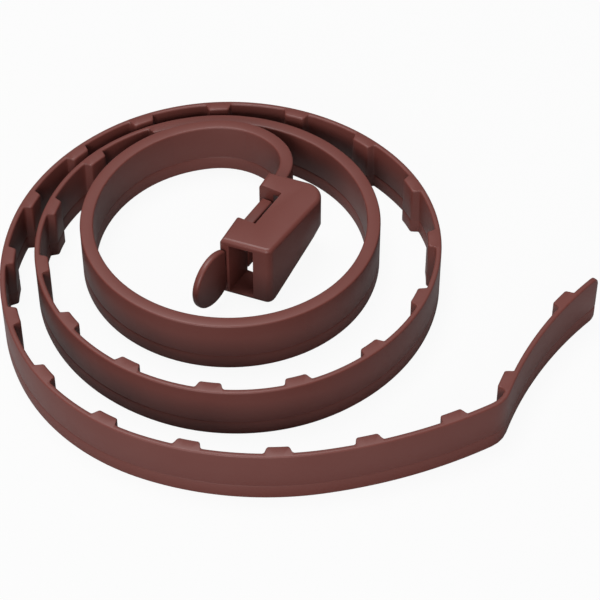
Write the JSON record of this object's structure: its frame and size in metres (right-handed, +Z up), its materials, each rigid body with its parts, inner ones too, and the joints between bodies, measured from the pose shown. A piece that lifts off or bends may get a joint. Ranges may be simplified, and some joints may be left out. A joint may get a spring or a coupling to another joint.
{
  "type": "strap collar with slotted buckle",
  "caption": "Coiled moulded plastic strap collar with inward lugs along its outer half, a slotted buckle with a guide tongue at the inner end and a folded free tail.",
  "frame": {"origin": "middle of the coiled part's footprint, on the surface that it lies on", "axes": "+Z up, across the strap's width; the buckle's slot runs along Y, with its mouth towards -Y and the guide tongue in front of it"},
  "size_m": [0.1094, 0.0924, 0.0151],
  "materials": {
    "collar_plastic": "satin moulded red-brown vinyl",
    "buckle_plastic": "satin moulded red-brown vinyl"
  },
  "bodies": {
    "buckle": {"buckle_housing": "buckle_plastic", "guide_tongue": "buckle_plastic", "strap_root": "collar_plastic"},
    "catch": {"catch_bar": "buckle_plastic"},
    "strap_bend": {"strap_bend": "collar_plastic"},
    "strap_link_01": {"strap_link_01": "collar_plastic"},
    "strap_link_02": {"strap_link_02": "collar_plastic"},
    "strap_link_03": {"strap_link_03": "collar_plastic"},
    "strap_link_04": {"strap_link_04": "collar_plastic"},
    "strap_link_05": {"strap_link_05": "collar_plastic"},
    "strap_link_06": {"strap_link_06": "collar_plastic"},
    "strap_link_07": {"strap_link_07": "collar_plastic"},
    "strap_link_08": {"strap_link_08": "collar_plastic"},
    "strap_link_09": {"strap_link_09": "collar_plastic"},
    "strap_link_10": {"strap_link_10": "collar_plastic"},
    "strap_link_11": {"strap_link_11": "collar_plastic"},
    "strap_link_12": {"strap_link_12": "collar_plastic"},
    "strap_link_13": {"strap_link_13": "collar_plastic"},
    "strap_link_14": {"strap_link_14": "collar_plastic"},
    "strap_link_15": {"strap_link_15": "collar_plastic"},
    "strap_link_16": {"strap_link_16": "collar_plastic"},
    "strap_link_17": {"strap_link_17": "collar_plastic"},
    "strap_link_18": {"strap_link_18": "collar_plastic"},
    "strap_link_19": {"strap_link_19": "collar_plastic"},
    "strap_link_20": {"strap_link_20": "collar_plastic"},
    "strap_tail": {"strap_tail": "collar_plastic"}
  },
  "joints": [
    {"name": "strap_uncoil", "type": "hinge", "parent": "buckle", "child": "strap_bend", "pos_m": [-0.00971, 0.02556, 0.0055], "axis": [0, 0, -1], "range_deg": [0, 27.5]},
    {"name": "link_01_uncoil", "type": "hinge", "parent": "strap_bend", "child": "strap_link_01", "pos_m": [-0.01371, 0.03324, 0.0055], "axis": [0, 0, -1], "range_deg": [0, 59]},
    {"name": "link_02_uncoil", "type": "hinge", "parent": "strap_link_01", "child": "strap_link_02", "pos_m": [-0.02888, 0.03417, 0.0055], "axis": [0, 0, -1], "range_deg": [0, 50]},
    {"name": "link_03_uncoil", "type": "hinge", "parent": "strap_link_02", "child": "strap_link_03", "pos_m": [-0.03971, 0.02277, 0.0055], "axis": [0, 0, -1], "range_deg": [0, 51.5]},
    {"name": "link_04_uncoil", "type": "hinge", "parent": "strap_link_03", "child": "strap_link_04", "pos_m": [-0.0355, -0.0072, 0.0055], "axis": [0, 0, -1], "range_deg": [0, 66.5]},
    {"name": "link_05_uncoil", "type": "hinge", "parent": "strap_link_04", "child": "strap_link_05", "pos_m": [-0.00639, -0.01527, 0.0055], "axis": [0, 0, -1], "range_deg": [0, 67]},
    {"name": "link_06_uncoil", "type": "hinge", "parent": "strap_link_05", "child": "strap_link_06", "pos_m": [0.01242, 0.00837, 0.0055], "axis": [0, 0, -1], "range_deg": [0, 65]},
    {"name": "link_07_uncoil", "type": "hinge", "parent": "strap_link_06", "child": "strap_link_07", "pos_m": [-0.00115, 0.03559, 0.0055], "axis": [0, 0, -1], "range_deg": [0, 62]},
    {"name": "link_08_uncoil", "type": "hinge", "parent": "strap_link_07", "child": "strap_link_08", "pos_m": [-0.03165, 0.03638, 0.0055], "axis": [0, 0, -1], "range_deg": [0, 58]},
    {"name": "link_09_uncoil", "type": "hinge", "parent": "strap_link_08", "child": "strap_link_09", "pos_m": [-0.04939, 0.01079, 0.0055], "axis": [0, 0, -1], "range_deg": [0, 52]},
    {"name": "link_10_uncoil", "type": "hinge", "parent": "strap_link_09", "child": "strap_link_10", "pos_m": [-0.03935, -0.01923, 0.0055], "axis": [0, 0, -1], "range_deg": [0, 48]},
    {"name": "link_11_uncoil", "type": "hinge", "parent": "strap_link_10", "child": "strap_link_11", "pos_m": [-0.01027, -0.03187, 0.0055], "axis": [0, 0, -1], "range_deg": [0, 49.5]},
    {"name": "link_12_uncoil", "type": "hinge", "parent": "strap_link_11", "child": "strap_link_12", "pos_m": [0.01811, -0.01803, 0.0055], "axis": [0, 0, -1], "range_deg": [0, 49.5]},
    {"name": "link_13_uncoil", "type": "hinge", "parent": "strap_link_12", "child": "strap_link_13", "pos_m": [0.02605, 0.01267, 0.0055], "axis": [0, 0, -1], "range_deg": [0, 47.5]},
    {"name": "link_14_uncoil", "type": "hinge", "parent": "strap_link_13", "child": "strap_link_14", "pos_m": [0.00879, 0.03924, 0.0055], "axis": [0, 0, -1], "range_deg": [0, 46.5]},
    {"name": "link_15_uncoil", "type": "hinge", "parent": "strap_link_14", "child": "strap_link_15", "pos_m": [-0.02243, 0.04502, 0.0055], "axis": [0, 0, -1], "range_deg": [0, 46.5]},
    {"name": "link_16_uncoil", "type": "hinge", "parent": "strap_link_15", "child": "strap_link_16", "pos_m": [-0.04807, 0.0264, 0.0055], "axis": [0, 0, -1], "range_deg": [0, 44.5]},
    {"name": "link_17_uncoil", "type": "hinge", "parent": "strap_link_16", "child": "strap_link_17", "pos_m": [-0.05332, -0.00501, 0.0055], "axis": [0, 0, -1], "range_deg": [0, 38]},
    {"name": "link_18_uncoil", "type": "hinge", "parent": "strap_link_17", "child": "strap_link_18", "pos_m": [-0.03807, -0.03309, 0.0055], "axis": [0, 0, -1], "range_deg": [0, 39]},
    {"name": "link_19_uncoil", "type": "hinge", "parent": "strap_link_18", "child": "strap_link_19", "pos_m": [-0.00869, -0.04526, 0.0055], "axis": [0, 0, -1], "range_deg": [0, 37.5]},
    {"name": "link_20_uncoil", "type": "hinge", "parent": "strap_link_19", "child": "strap_link_20", "pos_m": [0.02222, -0.03698, 0.0055], "axis": [0, 0, -1], "range_deg": [0, 26]},
    {"name": "tail_uncoil", "type": "hinge", "parent": "strap_link_20", "child": "strap_tail", "pos_m": [0.04644, -0.01592, 0.0055], "axis": [0, 0, -1], "range_deg": [0, 25.65]},
    {"name": "catch_flex", "type": "slide", "parent": "buckle", "child": "catch", "axis": [-0.9877, 0.1564, 0], "range_m": [0, 0.0012], "stiffness_N_per_m": 2000}
  ],
  "couplings": [
    {"joint": "link_01_uncoil", "follows": "strap_uncoil", "ratio": 2.1455},
    {"joint": "link_02_uncoil", "follows": "strap_uncoil", "ratio": 1.8182},
    {"joint": "link_03_uncoil", "follows": "strap_uncoil", "ratio": 1.8727},
    {"joint": "link_04_uncoil", "follows": "strap_uncoil", "ratio": 2.4182},
    {"joint": "link_05_uncoil", "follows": "strap_uncoil", "ratio": 2.4364},
    {"joint": "link_06_uncoil", "follows": "strap_uncoil", "ratio": 2.3636},
    {"joint": "link_07_uncoil", "follows": "strap_uncoil", "ratio": 2.2545},
    {"joint": "link_08_uncoil", "follows": "strap_uncoil", "ratio": 2.1091},
    {"joint": "link_09_uncoil", "follows": "strap_uncoil", "ratio": 1.8909},
    {"joint": "link_10_uncoil", "follows": "strap_uncoil", "ratio": 1.7455},
    {"joint": "link_11_uncoil", "follows": "strap_uncoil", "ratio": 1.8},
    {"joint": "link_12_uncoil", "follows": "strap_uncoil", "ratio": 1.8},
    {"joint": "link_13_uncoil", "follows": "strap_uncoil", "ratio": 1.7273},
    {"joint": "link_14_uncoil", "follows": "strap_uncoil", "ratio": 1.6909},
    {"joint": "link_15_uncoil", "follows": "strap_uncoil", "ratio": 1.6909},
    {"joint": "link_16_uncoil", "follows": "strap_uncoil", "ratio": 1.6182},
    {"joint": "link_17_uncoil", "follows": "strap_uncoil", "ratio": 1.3818},
    {"joint": "link_18_uncoil", "follows": "strap_uncoil", "ratio": 1.4182},
    {"joint": "link_19_uncoil", "follows": "strap_uncoil", "ratio": 1.3636},
    {"joint": "link_20_uncoil", "follows": "strap_uncoil", "ratio": 0.94545},
    {"joint": "tail_uncoil", "follows": "strap_uncoil", "ratio": 0.93269}
  ]
}
